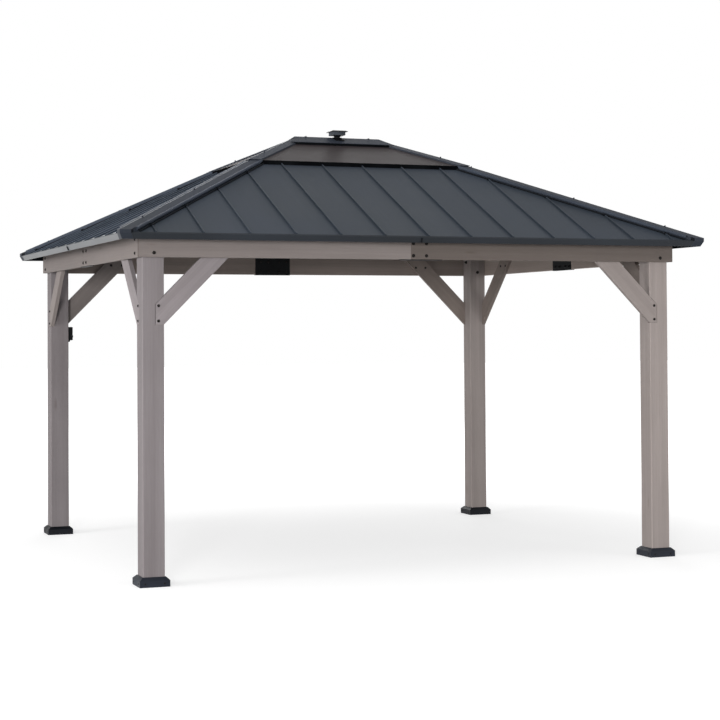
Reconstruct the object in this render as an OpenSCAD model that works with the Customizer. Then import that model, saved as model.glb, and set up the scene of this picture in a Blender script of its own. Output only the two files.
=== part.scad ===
// Hardtop garden gazebo: timber posts, spliced beams and knee braces under a hipped
// standing-seam roof with a raised skylight tier and a solar lamp on its ridge.
// Millimetres. X runs along the length, Y from front to back, Z up.
// The origin is on the ground in the middle of the footprint.

/* [Timber frame] */
// Length over the outer faces of the posts
frame_length = 3760; // [3400:10:6000]
// Width over the outer faces of the posts
frame_width = 3090; // [2400:10:3300]
// Height from the ground to the underside of the beams
clear_height = 2050; // [1900:5:2800]
// Side of the square posts
post_size = 140; // [110:1:180]
// Chamfer on the long edges of posts and beams
edge_chamfer = 4; // [1:0.5:6]

/* [Foot covers] */
// How far the foot cover stands out from the post
foot_cover_reach = 27; // [15:1:60]
// How far its top lip stands out from the post
foot_cover_lip = 6; // [3:1:12]
// Height of its upright rim
foot_rim_height = 41; // [20:1:80]
// Height of its sloping shoulder
foot_shoulder_height = 20; // [8:1:50]

/* [Beams] */
// Height of the beam boards
beam_height = 140; // [110:1:220]
// Thickness of the beam boards
beam_thickness = 28; // [20:1:45]
// Length of the half lap in the middle of each beam
lap_length = 146; // [80:2:280]
// Gap at the shoulders of the half lap
lap_gap = 1; // [0.5:0.5:3]
// Length of the steel splice plates
splice_length = 300; // [200:2:500]
// Thickness of the splice plates
splice_thickness = 4; // [2:0.5:8]

/* [Knee braces] */
// Width of the brace boards
brace_width = 127; // [90:1:150]
// Thickness of the brace boards
brace_thickness = 28; // [20:1:45]
// How far a brace reaches along the beam, from the post's inner face
brace_reach = 420; // [300:1:650]
// How deep its foot is let into the post
brace_let_in = 54; // [30:1:60]
// Joint gap round the let-in foot
brace_gap = 3; // [0.5:0.5:4]
// How far a brace runs up behind the beam
brace_lap = 127; // [60:1:150]

/* [Roof] */
// Pitch of the roof slopes, in degrees
roof_pitch = 25.25; // [18:0.25:32]
// How far the eaves stand out from the posts
eave_overhang = 182; // [120:1:400]
// How far the edge of the sheets lies below the top of the beams
eave_drop = 7; // [0:1:30]
// Thickness of the roof sheets
sheet_thickness = 3; // [2:0.5:6]
// Distance between standing seams
seam_spacing = 305; // [200:1:500]
// Width of a standing seam
seam_width = 8; // [5:1:30]
// Height of a standing seam
seam_height = 12; // [8:1:26]

/* [Eave trim] */
// Height of the trim's face
trim_height = 35; // [28:1:90]
// How far the face leans in at the bottom
trim_lean = 18; // [4:1:25]
// Thickness of the trim
trim_thickness = 3; // [2:0.5:5]
// Width of the lip on the sheets
trim_lip_width = 20; // [16:1:50]
// Height of the lip above the sheets
trim_lip_height = 6; // [4:1:20]
// Gap between lengths of trim
trim_joint = 2; // [1:0.5:5]
// Where the front and back trims are joined, right of their middle
trim_joint_front = -60; // [-600:5:600]
// Where the left and right trims are joined, right of their middle
trim_joint_side = 110; // [-600:5:600]

/* [Hip caps] */
// How far a cap's flank reaches from the hip, along the eave
cap_reach = 70; // [40:1:120]
// Height of the cap above the sheets
cap_rise = 30; // [28:1:50]
// Thickness of the caps
cap_thickness = 3; // [2:0.5:5]

/* [Roof frame] */
// Width of the eave rails
rail_width = 40; // [30:1:80]
// Width of the rafters
rafter_width = 40; // [25:1:80]
// Depth of the rafters
rafter_depth = 60; // [40:1:120]
// Thickness of the kerb round the opening
kerb_thickness = 30; // [15:1:50]
// Gap where pieces of the roof frame meet
frame_joint = 1; // [0.5:0.5:3]

/* [Skylight] */
// Distance from the ridge to the skylight's long edges
skylight_half = 510; // [380:1:700]
// Height of its edge above the sheets
skylight_step = 27; // [16:1:27]
// Pitch of the skylight panels, in degrees
skylight_pitch = 23.25; // [15:0.25:25]
// Width of its edge frame
skylight_frame_width = 40; // [25:1:55]
// Distance from its edge to the opening in the sheets
skylight_inset = 60; // [56:1:90]
// Thickness of the panels
panel_thickness = 8; // [4:0.5:12]
// Width of the lip round the panels
panel_lip = 10; // [4:1:15]
// Depth of the bars under the panels
skylight_bar_depth = 30; // [15:1:60]
// How far the skylight hip caps reach from the hip
skylight_cap_reach = 85; // [50:1:120]
// Height of the skylight hip caps above the panels
skylight_cap_rise = 11; // [8:1:20]
// How far those caps run past the skylight's edge
skylight_cap_overrun = 5; // [5:1:40]

/* [Ridge lid] */
// Half width of the lid, measured in plan
lid_half_width = 125; // [110:1:200]
// How far its lower corners stand out past the ridge's ends
lid_splay = 75; // [10:1:90]
// Height of the lid above the panels
lid_rise = 21; // [15:1:40]

/* [Solar lamp] */
// Side of the solar panel
lamp_panel_size = 128; // [110:1:200]
// Thickness of the solar panel
lamp_panel_thickness = 9; // [4:1:16]
// Width of the bevel round the top of the panel
lamp_panel_bevel = 12; // [4:1:20]
// Side of the lamp's body
lamp_body_size = 97; // [60:1:105]
// Height of the body
lamp_body_height = 25; // [15:1:60]
// Radius of the neck
lamp_neck_radius = 22; // [12:1:28]
// Height of the body above the lid's ridge
lamp_neck_height = 16; // [14:1:60]
// Width of the saddle on the ridge
lamp_saddle_width = 70; // [60:1:140]
// How far the saddle reaches down each side of the ridge, measured in plan
lamp_saddle_reach = 72; // [40:1:100]
// Thickness of the saddle
lamp_saddle_thickness = 3; // [2:0.5:8]

/* [Switch box] */
// Height of the box
box_height = 105; // [80:1:160]
// Width of the box
box_width = 70; // [50:1:100]
// Depth of the box
box_depth = 37; // [20:1:60]
// How far its top lies below the foot of the brace beside it
box_drop = 6; // [2:1:400]

/* [Hidden] */

timber = "#9a8f89";
timber_light = "#a79d98";
steel_black = "#14181c";
roof_slate = "#4b5159";
trim_slate = "#3a3d42";
smoked = "#5f5b5a";

// Sides are numbered round the frame; each is drawn as the front and turned into place.
sides = [0, 1, 2, 3];
front = sides[0];
right = sides[1];
back = sides[2];
left = sides[3];

beam_top = clear_height + beam_height;
half_x = frame_length / 2;
half_y = frame_width / 2;

// Half length of a side over the posts, and the distance from the centre to its outer face
function side_half(s) = s % 2 == 0 ? half_x : half_y;
function side_depth(s) = s % 2 == 0 ? half_y : half_x;

// Roof planes. v is the plan distance in from the eave, the same on every side.
sheet_edge_z = beam_top - eave_drop;
sheet_drop = sheet_thickness / cos(roof_pitch);
function roof_half(s) = side_half(s) + eave_overhang;
function roof_run(s) = side_depth(s) + eave_overhang;
function sheet_z(v) = sheet_edge_z + v * tan(roof_pitch);

// Skylight planes, and the v of its edge, of the opening under it and of the ridge
ridge_v = roof_run(front);
skylight_v = ridge_v - skylight_half;
opening_v = skylight_v + skylight_inset;
function panel_z(v) = sheet_z(skylight_v) + skylight_step + (v - skylight_v) * tan(skylight_pitch);
panel_drop = panel_thickness / cos(skylight_pitch);
ridge_half = half_x - half_y;

// The v of the beams' outer faces and of the eave rails' inner faces
beam_v = eave_overhang - beam_thickness;
rail_v = beam_v + rail_width;

// The sheets stop short of the trim's outer edge, and the trim's lip lies on them
sheet_inset = 8;
trim_top = sheet_edge_z + trim_lip_height;

// Width of the turned-down edges of the caps, and the gap between pieces that meet at a hip
lip_line = 4;
cap_joint = 1;

lid_thickness = 3;

// How far a cutting shape reaches past what it cuts
cut = 1;

// ---- Helpers ----

module on_side(s) {
    rotate([0, 0, 90 * s]) children();
}

// A board along X whose section (Y, Z) is a rectangle with chamfered corners
module board(x0, x1, y0, y1, z0, z1, c = edge_chamfer) {
    translate([x0, 0, 0])
        rotate([90, 0, 90])
            linear_extrude(x1 - x0)
                chamfered(y0, y1, z0, z1, c);
}

module chamfered(x0, x1, y0, y1, c) {
    polygon([
        [x0 + c, y0], [x1 - c, y0], [x1, y0 + c], [x1, y1 - c],
        [x1 - c, y1], [x0 + c, y1], [x0, y1 - c], [x0, y0 + c]
    ]);
}

// The part of a roof side whose section is profile, as [v, z] points, and whose plan is
// area, as [u, v] points with u measured along the eave from its middle
module slope_part(s, profile, area) {
    reach = roof_half(s) + cap_thickness + cut;
    on_side(s)
        translate([0, -roof_run(s), 0])
            intersection() {
                translate([-reach, 0, 0])
                    rotate([90, 0, 90])
                        linear_extrude(2 * reach)
                            polygon(profile);
                linear_extrude(panel_z(ridge_v) + lid_rise + cut)
                    polygon(area);
            }
}

// Section of a layer between two heights above the sheets or above the panels
function sheet_layer(v0, v1, low, high) =
    [[v0, sheet_z(v0) + low], [v1, sheet_z(v1) + low], [v1, sheet_z(v1) + high], [v0, sheet_z(v0) + high]];
function panel_layer(v0, v1, low, high) =
    [[v0, panel_z(v0) + low], [v1, panel_z(v1) + low], [v1, panel_z(v1) + high], [v0, panel_z(v0) + high]];

// Plan of a whole slope between two lines along the eave, kept back from the hips
function slope_area(s, v0, v1, back_from_hip = 0) =
    let (h = roof_half(s) - back_from_hip)
    [[v0 - h, v0], [h - v0, v0], [h - v1, v1], [v1 - h, v1]];

// Plan of a strip along the right-hand hip, between two distances from it
function hip_area(s, v0, v1, near, far) =
    let (h = roof_half(s))
    [[h - v0 - far, v0], [h - v0 - near, v0], [h - v1 - near, v1], [h - v1 - far, v1]];

function flip_u(points) = [for (p = points) [-p[0], p[1]]];

// ---- Timber frame ----

// Outline of a brace, as distance from the post's inner face and height. Its foot is let
// into the post and its head runs up behind the beam.
brace_foot_z = clear_height - brace_reach;
brace_rise = brace_width * sqrt(2);
brace_top_z = clear_height + brace_lap;
function brace_outline(gap) =
    let (
        d0 = -brace_let_in - gap,
        low = brace_foot_z - gap,
        high = brace_foot_z + brace_rise + gap
    )
    [
        [d0, low], [0, low], [0, brace_foot_z],
        [brace_top_z - brace_foot_z, brace_top_z], [brace_top_z - high, brace_top_z],
        [d0, high + d0]
    ];

// A brace at the right end of a front that is drawn with the post's inner corner at the
// origin. With a gap it is the notch: wider all round, open outwards, and tight behind.
module brace_solid(gap) {
    translate([0, brace_thickness, 0])
        rotate([90, 0, 0])
            linear_extrude(brace_thickness + gap)
                polygon(flip_u(brace_outline(gap)));
}

module brace_at_right(s, gap = 0) {
    on_side(s)
        translate([side_half(s) - post_size, -side_depth(s), 0])
            brace_solid(gap);
}

module brace_at_left(s, gap = 0) {
    on_side(s)
        mirror([1, 0, 0])
            translate([side_half(s) - post_size, -side_depth(s), 0])
                brace_solid(gap);
}

// The post at the right end of side s, which is also the left end of the next side
module post(s) {
    next = (s + 1) % 4;
    difference() {
        on_side(s)
            translate([side_half(s) - post_size, -side_depth(s), 0])
                linear_extrude(beam_top)
                    chamfered(0, post_size, 0, post_size, edge_chamfer);
        brace_at_right(s, brace_gap);
        brace_at_left(next, brace_gap);
    }
}

module foot_cover(s) {
    size = post_size + 2 * foot_cover_reach;
    top = post_size + 2 * foot_cover_lip;
    on_side(s)
        translate([side_half(s) - post_size / 2, -side_depth(s) + post_size / 2, 0])
            difference() {
                intersection() {
                    foot_section(size, top);
                    rotate([0, 0, 90]) foot_section(size, top);
                }
                translate([0, 0, -cut])
                    linear_extrude(foot_rim_height + foot_shoulder_height + 2 * cut)
                        square(post_size, center = true);
            }
}

// Side view of a foot cover, drawn right through
module foot_section(size, top) {
    height = foot_rim_height + foot_shoulder_height;
    translate([0, size / 2 + cut, 0])
        rotate([90, 0, 0])
            linear_extrude(size + 2 * cut)
                polygon([
                    [-size / 2, 0], [size / 2, 0], [size / 2, foot_rim_height],
                    [top / 2, height], [-top / 2, height], [-size / 2, foot_rim_height]
                ]);
}

// Long-side boards cover the ends of the short-side boards
function beam_end(s) = s % 2 == 0 ? half_x + beam_thickness : half_y;

module beam_board(s) {
    on_side(s)
        board(-beam_end(s), beam_end(s), -side_depth(s) - beam_thickness, -side_depth(s), clear_height, beam_top);
}

// The right-hand half keeps the outer layer of the lap, the left-hand half the inner one
module beam_right_half(s) {
    y0 = -side_depth(s) - beam_thickness;
    difference() {
        beam_board(s);
        on_side(s) {
            translate([-beam_end(s) - cut, y0 - cut, clear_height - cut])
                cube([beam_end(s) + cut - lap_length / 2, beam_thickness + 2 * cut, beam_height + 2 * cut]);
            translate([-lap_length / 2 - cut, y0 + beam_thickness / 2, clear_height - cut])
                cube([lap_length + cut, beam_thickness / 2 + cut, beam_height + 2 * cut]);
        }
    }
}

module beam_left_half(s) {
    y0 = -side_depth(s) - beam_thickness;
    difference() {
        beam_board(s);
        on_side(s) {
            translate([lap_length / 2 - lap_gap, y0 - cut, clear_height - cut])
                cube([beam_end(s) + cut - lap_length / 2 + lap_gap, beam_thickness + 2 * cut, beam_height + 2 * cut]);
            translate([-lap_length / 2 - lap_gap, y0 - cut, clear_height - cut])
                cube([lap_length + lap_gap + cut, beam_thickness / 2 + cut, beam_height + 2 * cut]);
        }
    }
}

// An angle plate on the inside of a beam, with a flange under it
module splice_plate(s) {
    y = -side_depth(s);
    on_side(s)
        translate([-splice_length / 2, 0, 0])
            rotate([90, 0, 90])
                linear_extrude(splice_length)
                    polygon([
                        [y - beam_thickness, clear_height - splice_thickness],
                        [y + splice_thickness, clear_height - splice_thickness],
                        [y + splice_thickness, beam_top], [y, beam_top],
                        [y, clear_height], [y - beam_thickness, clear_height]
                    ]);
}

// ---- Roof frame ----

module eave_rail(s) {
    under = -sheet_drop;
    slope_part(s,
        [
            [beam_v, beam_top], [rail_v, beam_top],
            [rail_v, sheet_z(rail_v) + under], [beam_v, sheet_z(beam_v) + under]
        ],
        slope_area(s, beam_v, rail_v, frame_joint));
}

// How far half the width of a hip bar reaches from the hip, along the eave
hip_bar_reach = rafter_width / sqrt(2);

// Half of a hip rafter, on the side whose right-hand hip it follows
module hip_rafter_half(s, turned) {
    area = hip_area(s, rail_v, opening_v, 0, hip_bar_reach);
    slope_part(s,
        sheet_layer(rail_v, opening_v, -sheet_drop - rafter_depth, -sheet_drop),
        turned ? flip_u(area) : area);
}

module middle_rafter(s) {
    w = rafter_width / 2;
    slope_part(s,
        sheet_layer(rail_v, opening_v, -sheet_drop - rafter_depth, -sheet_drop),
        [[-w, rail_v], [w, rail_v], [w, opening_v], [-w, opening_v]]);
}

module kerb_wall(s) {
    v1 = opening_v + kerb_thickness;
    low = sheet_z(opening_v) - sheet_drop - rafter_depth;
    slope_part(s,
        [
            [opening_v, low], [v1, low],
            [v1, panel_z(v1) - panel_drop], [opening_v, panel_z(opening_v) - panel_drop]
        ],
        slope_area(s, opening_v, v1, frame_joint));
}

// ---- Roof covering ----

module roof_slope(s) {
    slope_part(s,
        sheet_layer(sheet_inset, opening_v, -sheet_drop, 0),
        slope_area(s, sheet_inset, opening_v));
    count = floor((roof_half(s) - cap_reach - 2 * trim_lip_width) / seam_spacing);
    for (i = [-count : count])
        seam(s, i * seam_spacing);
}

module seam(s, u) {
    w = seam_width / 2;
    v0 = trim_lip_width;
    v1 = min(skylight_v, roof_half(s) - abs(u) - w - cap_reach);
    slope_part(s,
        sheet_layer(v0, v1, -sheet_drop / 2, seam_height),
        [[u - w, v0], [u + w, v0], [u + w, v1], [u - w, v1]]);
}

module eave_trim(s) {
    profile = [
        [0, trim_top],
        [trim_lean, trim_top - trim_height],
        [trim_lean + trim_thickness, trim_top - trim_height],
        [sheet_inset, sheet_z(sheet_inset) - sheet_drop],
        [sheet_inset, sheet_z(sheet_inset)],
        [trim_lip_width, sheet_z(trim_lip_width)],
        [trim_lip_width, sheet_z(trim_lip_width) + trim_lip_height]
    ];
    h = roof_half(s) - frame_joint / 2;
    deep = trim_lip_width + trim_lean + trim_thickness;
    joint_u = s % 2 == 0 ? trim_joint_front : trim_joint_side;
    right_start = joint_u + trim_joint / 2;
    left_start = trim_joint / 2 - joint_u;
    slope_part(s, profile, [[right_start, 0], [h, 0], [h - deep, deep], [right_start, deep]]);
    slope_part(s, profile, flip_u([[left_start, 0], [h, 0], [h - deep, deep], [left_start, deep]]));
}

// One flank of a hip cap, with its edge turned down to the sheets and its nose over the trim
module hip_cap_flank(s, turned) {
    t = cap_thickness;
    top = hip_area(s, -t, skylight_v, 0, cap_reach);
    edge = hip_area(s, trim_lip_width, skylight_v, cap_reach - lip_line, cap_reach);
    nose = hip_area(s, -t, trim_lean, 0, cap_reach);
    slope_part(s, sheet_layer(-t, skylight_v, cap_rise - t, cap_rise), turned ? flip_u(top) : top);
    slope_part(s, sheet_layer(trim_lip_width, skylight_v, 0, cap_rise - t / 2), turned ? flip_u(edge) : edge);
    slope_part(s,
        [
            [-t, sheet_z(-t) + cap_rise], [0, sheet_z(0) + cap_rise],
            [0, trim_top], [trim_lean, trim_top - trim_height],
            [trim_lean - t, trim_top - trim_height], [-t, trim_top]
        ],
        turned ? flip_u(nose) : nose);
}

// ---- Skylight tier ----

module skylight_edge(s) {
    v0 = skylight_v;
    v1 = skylight_v + panel_lip;
    v2 = skylight_v + skylight_frame_width;
    slope_part(s,
        [
            [v0, sheet_z(v0)], [v2, sheet_z(v2)], [v2, panel_z(v2) - panel_drop],
            [v1, panel_z(v1) - panel_drop], [v1, panel_z(v1)], [v0, panel_z(v0)]
        ],
        slope_area(s, v0, v2, frame_joint));
}

// The bars under the panels are one frame: four hip bars that meet a ridge bar
module skylight_hip_bar_half(s, turned) {
    v0 = opening_v + kerb_thickness;
    area = hip_area(s, v0, ridge_v, 0, hip_bar_reach);
    slope_part(s,
        panel_layer(v0, ridge_v, -panel_drop - skylight_bar_depth, -panel_drop),
        turned ? flip_u(area) : area);
}

module skylight_ridge_bar_half(s) {
    v0 = ridge_v - rafter_width / 2;
    h = ridge_half;
    slope_part(s,
        panel_layer(v0, ridge_v, -panel_drop - skylight_bar_depth, -panel_drop),
        [[-h, v0], [h, v0], [h, ridge_v], [-h, ridge_v]]);
}

module skylight_panel(s) {
    v0 = skylight_v + panel_lip;
    slope_part(s,
        panel_layer(v0, ridge_v, -panel_drop, 0),
        slope_area(s, v0, s % 2 == 0 ? ridge_v - cap_joint : ridge_v - 2 * cap_joint, cap_joint));
}

module skylight_cap_flank(s, turned) {
    t = cap_thickness;
    v0 = skylight_v - skylight_cap_overrun;
    // On the end slopes the two flanks stop at the middle line
    v_meet = ridge_v - skylight_cap_reach;
    j = cap_joint;
    r = skylight_cap_reach;
    h = roof_half(s);
    edge = lip_line;
    top = s % 2 == 0
        ? hip_area(s, v0, ridge_v - j, 0, r)
        : [[h - v0 - r, v0], [h - v0, v0], [h - ridge_v + j, ridge_v - j], [j, ridge_v - j], [j, v_meet - j]];
    lip = s % 2 == 0
        ? hip_area(s, skylight_v, ridge_v - j, r - edge, r)
        : hip_area(s, skylight_v, v_meet - edge, r - edge, r);
    slope_part(s, panel_layer(v0, ridge_v, skylight_cap_rise - t, skylight_cap_rise), turned ? flip_u(top) : top);
    slope_part(s, panel_layer(skylight_v, ridge_v, 0, skylight_cap_rise - t / 2), turned ? flip_u(lip) : lip);
}

// ---- Ridge lid and lamp ----

// A layer over both sides of the ridge, between two heights above the panels. Its section is
// bent like the ridge, and half_plan is half of its plan: points on the +Y side, as [x, y],
// from the ridge's +X end round to its -X end.
module ridge_part(half_width, low, high, half_plan) {
    edge_z = panel_z(ridge_v - half_width);
    top_z = panel_z(ridge_v);
    reach = max([for (p = half_plan) p[0]]) + cut;
    intersection() {
        translate([-reach, 0, 0])
            rotate([90, 0, 90])
                linear_extrude(2 * reach)
                    polygon([
                        [-half_width, edge_z + low], [0, top_z + low], [half_width, edge_z + low],
                        [half_width, edge_z + high], [0, top_z + high], [-half_width, edge_z + high]
                    ]);
        linear_extrude(top_z + high + cut)
            polygon(concat(half_plan, [for (p = half_plan) if (p[1] > 0) [-p[0], -p[1]]]));
    }
}

module ridge_lid_solid() {
    w = lid_half_width;
    h = ridge_half;
    out = h + lid_splay;
    ridge_part(w, lid_rise - lid_thickness, lid_rise, [[h, 0], [out, w], [-out, w], [-h, 0]]);
}

// Fills the step between the panels and the lid, clear of the skylight hip caps
module ridge_riser_solid() {
    w = lid_half_width - lip_line;
    h = ridge_half - skylight_cap_reach - cap_joint;
    out = ridge_half + lid_splay - lip_line;
    ridge_part(w, 0, lid_rise - lid_thickness,
        [[h, 0], [out, out - h], [out, w], [-out, w], [-out, out - h], [-h, 0]]);
}

lid_top = panel_z(ridge_v) + lid_rise;
lamp_body_bottom = lid_top + lamp_neck_height;
lamp_body_top = lamp_body_bottom + lamp_body_height;
lamp_flare = 10;

// How far the lid falls away under the edge of the neck
lamp_neck_drop = lamp_neck_radius * tan(skylight_pitch);

module lamp_saddle() {
    w = lamp_saddle_width / 2;
    reach = lamp_saddle_reach;
    ridge_part(reach, lid_rise, lid_rise + lamp_saddle_thickness, [[w, 0], [w, reach], [-w, reach], [-w, 0]]);
}

// The neck's foot is cut to both slopes of the lid that it stands on
module lamp_neck() {
    w = lamp_neck_radius + cut;
    tall = lamp_neck_drop + lamp_neck_height + cut;
    intersection() {
        ridge_part(w, lid_rise, lid_rise + tall, [[w, 0], [w, w], [-w, w], [-w, 0]]);
        translate([0, 0, lid_top - lamp_neck_drop])
            cylinder(r = lamp_neck_radius, h = tall, $fn = 48);
    }
}

// ---- Sub-parts ----

module post_node(s) {
    color(timber) post(s);
}

module foot_cover_node(s) {
    color(steel_black) foot_cover(s);
}

module beam_right_node(s) {
    color(timber_light) beam_right_half(s);
}

module beam_left_node(s) {
    color(timber) beam_left_half(s);
}

module brace_right_node(s) {
    color(timber_light) brace_at_right(s);
}

module brace_left_node(s) {
    color(timber_light) brace_at_left(s);
}

module splice_plates() {
    color(steel_black)
        for (s = sides)
            splice_plate(s);
}

module eave_rails() {
    color(steel_black)
        for (s = sides)
            eave_rail(s);
}

module rafters() {
    color(steel_black)
        for (s = sides) {
            middle_rafter(s);
            hip_rafter_half(s, false);
            hip_rafter_half((s + 1) % 4, true);
        }
}

module skylight_kerb() {
    color(steel_black)
        for (s = sides)
            kerb_wall(s);
}

module roof_node(s) {
    color(roof_slate) roof_slope(s);
}

module eave_trim_node(s) {
    color(trim_slate) eave_trim(s);
}

module hip_caps() {
    color(roof_slate)
        for (s = sides) {
            hip_cap_flank(s, false);
            hip_cap_flank((s + 1) % 4, true);
        }
}

module skylight_frame() {
    color(steel_black) {
        for (s = sides) {
            skylight_edge(s);
            skylight_hip_bar_half(s, false);
            skylight_hip_bar_half((s + 1) % 4, true);
        }
        skylight_ridge_bar_half(front);
        skylight_ridge_bar_half(back);
    }
}

module skylight_panels() {
    color(smoked)
        for (s = sides)
            skylight_panel(s);
}

module skylight_hip_caps() {
    color(roof_slate)
        for (s = sides) {
            skylight_cap_flank(s, false);
            skylight_cap_flank((s + 1) % 4, true);
        }
}

module ridge_riser() {
    color(steel_black) ridge_riser_solid();
}

module ridge_lid() {
    color(roof_slate) ridge_lid_solid();
}

module lamp_base() {
    color(steel_black) {
        lamp_saddle();
        lamp_neck();
        translate([0, 0, lamp_body_bottom - lamp_flare])
            cylinder(r1 = lamp_neck_radius, r2 = lamp_neck_radius + lamp_flare, h = lamp_flare + cut, $fn = 48);
        translate([-lamp_body_size / 2, -lamp_body_size / 2, lamp_body_bottom])
            cube([lamp_body_size, lamp_body_size, lamp_body_height]);
    }
}

module lamp_panel() {
    color(steel_black)
        translate([0, 0, lamp_body_top])
            intersection() {
                lamp_panel_section();
                rotate([0, 0, 90]) lamp_panel_section();
            }
}

// Side view of the solar panel, drawn right through
module lamp_panel_section() {
    bottom = lamp_panel_size / 2;
    top = bottom - lamp_panel_bevel;
    t = lamp_panel_thickness;
    translate([0, bottom + cut, 0])
        rotate([90, 0, 0])
            linear_extrude(2 * (bottom + cut))
                polygon([[-bottom, 0], [bottom, 0], [bottom, t / 4], [top, t], [-top, t], [-bottom, t / 4]]);
}

module switch_box() {
    bottom = brace_foot_z - box_drop - box_height;
    color(steel_black)
        translate([-half_x + post_size, half_y - post_size / 2 - box_width / 2, bottom])
            cube([box_depth, box_width, box_height]);
}

post_node(left);  // post_front_left
post_node(front);  // post_front_right
post_node(back);  // post_back_left
post_node(right);  // post_back_right
foot_cover_node(left);  // foot_cover_front_left
foot_cover_node(front);  // foot_cover_front_right
foot_cover_node(back);  // foot_cover_back_left
foot_cover_node(right);  // foot_cover_back_right
beam_left_node(front);  // beam_front_left
beam_right_node(front);  // beam_front_right
beam_left_node(right);  // beam_right_front
beam_right_node(right);  // beam_right_back
beam_left_node(back);  // beam_back_right
beam_right_node(back);  // beam_back_left
beam_left_node(left);  // beam_left_back
beam_right_node(left);  // beam_left_front
splice_plates();
brace_left_node(front);  // brace_front_left
brace_right_node(front);  // brace_front_right
brace_left_node(right);  // brace_right_front
brace_right_node(right);  // brace_right_back
brace_left_node(back);  // brace_back_right
brace_right_node(back);  // brace_back_left
brace_left_node(left);  // brace_left_back
brace_right_node(left);  // brace_left_front
eave_rails();
rafters();
skylight_kerb();
roof_node(front);  // roof_front
roof_node(right);  // roof_right
roof_node(back);  // roof_back
roof_node(left);  // roof_left
eave_trim_node(front);  // eave_trim_front
eave_trim_node(right);  // eave_trim_right
eave_trim_node(back);  // eave_trim_back
eave_trim_node(left);  // eave_trim_left
hip_caps();
skylight_frame();
skylight_panels();
skylight_hip_caps();
ridge_riser();
ridge_lid();
lamp_base();
lamp_panel();
switch_box();
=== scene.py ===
# Looks of a hardtop garden gazebo: stained timber frame, standing-seam steel roof,
# smoked skylight tier and a small solar lamp on the ridge. Metres, +Z up.
import math
from functools import partial
from itertools import product
import bmesh
import bpy
from mathutils import Matrix, Vector


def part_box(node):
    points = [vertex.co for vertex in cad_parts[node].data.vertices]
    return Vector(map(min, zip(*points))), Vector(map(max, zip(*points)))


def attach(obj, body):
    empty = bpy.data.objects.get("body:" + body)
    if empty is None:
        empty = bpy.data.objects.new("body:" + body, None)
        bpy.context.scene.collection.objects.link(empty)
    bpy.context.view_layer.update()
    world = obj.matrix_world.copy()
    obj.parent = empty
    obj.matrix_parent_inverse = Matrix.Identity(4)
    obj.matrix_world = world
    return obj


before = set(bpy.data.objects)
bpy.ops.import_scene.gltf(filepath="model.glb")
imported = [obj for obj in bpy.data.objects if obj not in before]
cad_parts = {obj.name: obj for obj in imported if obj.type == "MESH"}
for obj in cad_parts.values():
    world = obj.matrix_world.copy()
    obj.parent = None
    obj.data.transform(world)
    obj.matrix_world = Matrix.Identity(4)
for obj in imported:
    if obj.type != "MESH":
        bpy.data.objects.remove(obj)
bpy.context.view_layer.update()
mm = 0.001
noiseSpan = (0.3, 0.7)                   # the part of 0 to 1 that a noise pattern fills
baseIn, coatIn, colourOut = 6, 7, 2      # a Mix node's sockets when it mixes colours


def linear(code):
    # sRGB hex to a linear colour
    parts = [int(code[i:i + 2], 16) / 255 for i in (1, 3, 5)]
    return tuple(c / 12.92 if c <= 0.04045 else ((c + 0.055) / 1.055) ** 2.4 for c in parts) + (1.0,)


def setNode(node, settings=None, links=None):
    # A setting is an input's name or number, an attribute, a ramp's stops, or From or To with a
    # range. A link comes from a socket, a node's first output or a list of them.
    for key, value in (settings or {}).items():
        if key == "stops":
            points = node.color_ramp.elements
            while len(points) < len(value):
                points.new(0.5)
            for point, (where, code) in zip(points, value):
                point.position = where
                point.color = linear(code)
        elif key in ("From", "To"):
            node.inputs[key + " Min"].default_value, node.inputs[key + " Max"].default_value = value
        elif isinstance(key, int) or key in node.inputs:
            isHex = isinstance(value, str) and value.startswith("#")
            node.inputs[key].default_value = linear(value) if isHex else value
        else:
            setattr(node, key, value)
    for key, sources in (links or {}).items():
        for source in sources if isinstance(sources, list) else [sources]:
            socket = source.outputs[0] if isinstance(source, bpy.types.Node) else source
            node.id_data.links.new(socket, node.inputs[key])
    return node


def addNode(tree, kind, settings=None, links=None):
    return setNode(tree.nodes.new(kind), settings, links)


def addObject(name, data):
    thing = bpy.data.objects.new(name, data)
    bpy.context.scene.collection.objects.link(thing)
    return thing


def newMaterial(name):
    # A material, what adds a node to it, and the piece's own coordinates
    material = bpy.data.materials.new(name)
    material.use_nodes = True
    add = partial(addNode, material.node_tree)
    return material, add, add("ShaderNodeTexCoord").outputs["Object"]


def withShader(material, settings, colour, roughness, bump=None):
    # The material once its own shader has its plain values and what the patterns drive
    links = {"Base Color": colour, "Roughness": roughness}
    if bump:
        links["Normal"] = bump
    setNode(material.node_tree.nodes["Principled BSDF"], settings, links)
    return material


def perMetre(sizes):
    # How often marks of these sizes repeat in a metre
    return tuple(1 / size for size in sizes)


def facingAxes(add):
    # The face's normal, and how squarely it looks along each axis, one way or the other
    normal = add("ShaderNodeNewGeometry").outputs["True Normal"]
    facing = add("ShaderNodeVectorMath", {"operation": "ABSOLUTE"}, {0: normal})
    return normal, add("ShaderNodeSeparateXYZ", None, {0: facing}).outputs


camera = {
    "place": (-4.4505, -11.8723, 1.5929),
    "yaw": 0.3571,     # radians, to the right of +Y
    "pitch": 0.0211,
    "roll": -0.0057,
    "lens": 85.0,      # mm
    "sensor": 36.0,
    "shiftX": 0.0343,
    "shiftY": -0.0923,
    "farthest": 200.0,
}


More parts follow.
